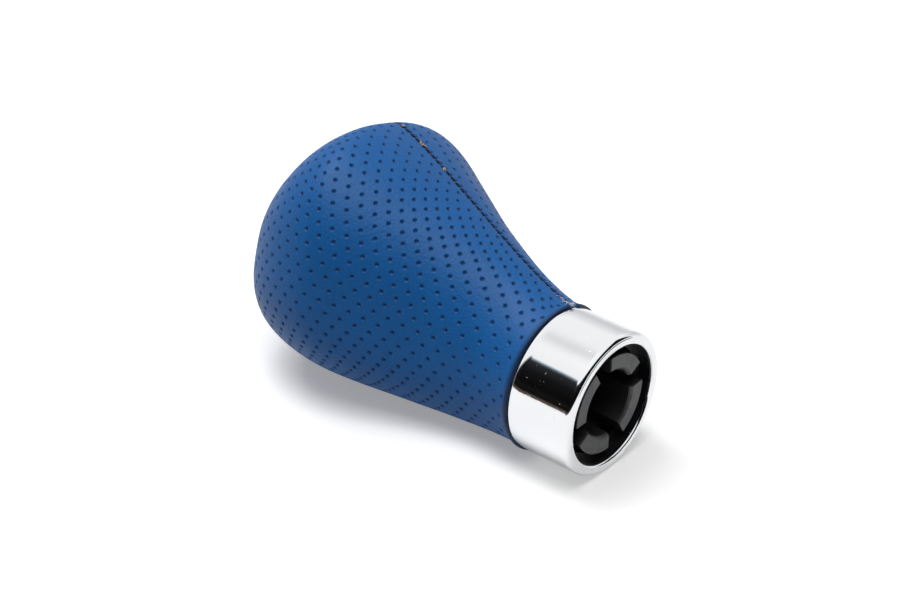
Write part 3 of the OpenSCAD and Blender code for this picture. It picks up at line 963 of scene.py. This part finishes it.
flesh_points, flesh_faces = curls(flesh_spots, each=6, reach=0.6 * MM, thick=0.14 * MM, seed=3)
mesh_piece("raw_leather_bits", flesh_points, flesh_faces,
           moulded("raw_flesh_side", (0.44, 0.31, 0.22), 0.85, grain=6000.0, mottle=1500.0),
           "root")
fibre_points, fibre_faces = curls(fibre_spots, each=8, reach=1.0 * MM, thick=0.07 * MM, seed=8)
mesh_piece("raw_edge_fibres", fibre_points, fibre_faces,
           moulded("pale_fibres", (0.5, 0.56, 0.62), 0.7, grain=6000.0, mottle=1500.0),
           "root")


# The collet: a black nylon moulding with four jaws, loose in the collar until it is screwed
# home. The ends of its jaws are ground, so they are paler than the rest.
def ground_nylon():
    """Black nylon with paler, speckled ends: a mask by height finds the ground faces."""
    black, worn = (0.014, 0.014, 0.015), (0.075, 0.078, 0.082)
    made, tree, shader = shader_of("collet_nylon", black, 0.42)
    skin_of = grained(tree, 2600.0, 700.0)
    place = add_node(tree, "ShaderNodeTexCoord")
    height = add_node(tree, "ShaderNodeSeparateXYZ", {0: place.outputs["Object"]})
    end_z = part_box("collet")[0].z
    ground = add_node(tree, "ShaderNodeMapRange", {"Value": height.outputs["Z"],
                                                   "From Min": end_z + 0.45 * MM,
                                                   "From Max": end_z + 0.2 * MM})
    speck = add_node(tree, "ShaderNodeMapRange", {"Value": skin_of.outputs["Mottle"],
                                                  "From Min": 0.3, "From Max": 0.6,
                                                  "To Min": 0.55})
    share = add_node(tree, "ShaderNodeMath", {0: ground.outputs[0], 1: speck.outputs[0]},
                     operation="MULTIPLY")
    tint = mixed(tree, share.outputs[0], (*black, 1), (*worn, 1))
    tree.links.new(tint, shader.inputs["Base Color"])
    relief = add_node(tree, "ShaderNodeBump", {"Height": skin_of.outputs["Grain"],
                                               "Strength": 0.7, "Distance": 0.04 * MM})
    tree.links.new(relief.outputs[0], shader.inputs["Normal"])
    return made


finish_node("collet", ground_nylon())


# The nut: a ring of black plastic pressed into the shell, with the thread that runs on the
# neck. Its slightly shiny inner wall closes the jaws, and shows around them in the mouth.
finish_node("collar_nut", moulded("nut_plastic", (0.008, 0.008, 0.009), 0.3))


# The collar's shell: a drawn tube, rounded at the front and rolled in around the mouth, then
# polished and plated. It is turned here from its profile, so that its reflections run smooth.
shell_t = 0.9 * MM
edge_round = 1.3 * MM
mouth_r = 12.6 * MM
lip_t = 1.2 * MM
back_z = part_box("chrome_collar")[1].z
back_round = 0.12 * MM
shell_steps = 256
edge_steps = 37
nick = 0.04 * MM * np.exp(-((np.linspace(-90, 0, edge_steps) + 66) / 4)**2)
creases = np.array([[13.24, 0], [13.34, 0.1], [13.46, 0.1], [13.56, 0]]) * MM


def arc(centre, radius, start, end, steps):
    """Points (radius, height) of an arc, from one angle in degrees to another."""
    turn = np.radians(np.linspace(start, end, steps))
    return np.stack([centre[0] + radius * np.cos(turn), centre[1] + radius * np.sin(turn)], -1)


def shell_profile():
    """The section as a closed outline, counter-clockwise: up the outside, down the inside,
    around the lip and out along the front face to the rounded edge."""
    outside = collar_r
    inside = collar_r - shell_t
    walls = np.linspace(rim_z + edge_round, back_z - back_round, 8)[1:-1]
    return np.concatenate([
        arc((outside - edge_round, rim_z + edge_round), edge_round - nick, -90, 0, edge_steps),
        np.stack([np.full(len(walls), outside), walls], -1),
        arc((outside - back_round, back_z - back_round), back_round, 0, 90, 4),
        arc((inside + back_round, back_z - back_round), back_round, 90, 180, 4),
        np.array([[inside, rim_z + lip_t + 0.1 * MM], [inside - 0.1 * MM, rim_z + lip_t]]),
        arc((mouth_r + lip_t / 2, rim_z + lip_t / 2), lip_t / 2, 90, 270, 18),
        np.stack([creases[:, 0], rim_z + creases[:, 1]], -1)])


def turned(profile, steps):
    """A closed outline of (radius, height) points carried around the Z axis."""
    turn = np.linspace(0, 2 * np.pi, steps, endpoint=False)[:, None]
    points = np.stack([profile[:, 0] * np.cos(turn), profile[:, 0] * np.sin(turn),
                       profile[:, 1] + 0 * turn], -1)
    count = len(profile)
    s, p = np.meshgrid(np.arange(steps), np.arange(count), indexing="ij")
    after, beside = (s + 1) % steps, (p + 1) % count
    faces = np.stack([s * count + p, after * count + p, after * count + beside,
                      s * count + beside], -1).reshape(-1, 4)
    return points, faces.tolist()


def plated():
    """Bright plating with a faint haze, specks of dust and a very fine waviness."""
    made, tree, shader = shader_of("bright_plating", (0.86, 0.87, 0.885), 0.05, metallic=1.0)
    skin_of = grained(tree, 1500.0, 220.0)
    gloss = add_node(tree, "ShaderNodeMapRange", {"Value": skin_of.outputs["Mottle"],
                                                  "To Min": 0.03, "To Max": 0.09})
    dust = add_node(tree, "ShaderNodeMapRange", {"Value": skin_of.outputs["Grain"],
                                                 "From Min": 0.69, "From Max": 0.73,
                                                 "To Max": 0.5})
    haze = add_node(tree, "ShaderNodeMath", {0: gloss.outputs[0], 1: dust.outputs[0]},
                    operation="ADD")
    tree.links.new(haze.outputs[0], shader.inputs["Roughness"])
    relief = add_node(tree, "ShaderNodeBump", {"Height": skin_of.outputs["Mottle"],
                                               "Strength": 0.12, "Distance": 0.05 * MM})
    tree.links.new(relief.outputs[0], shader.inputs["Normal"])
    return made


shell_points, shell_faces = turned(shell_profile(), shell_steps)
shell = mesh_piece("plated_shell", shell_points, shell_faces, plated(), "collar")
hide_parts("chrome_collar")
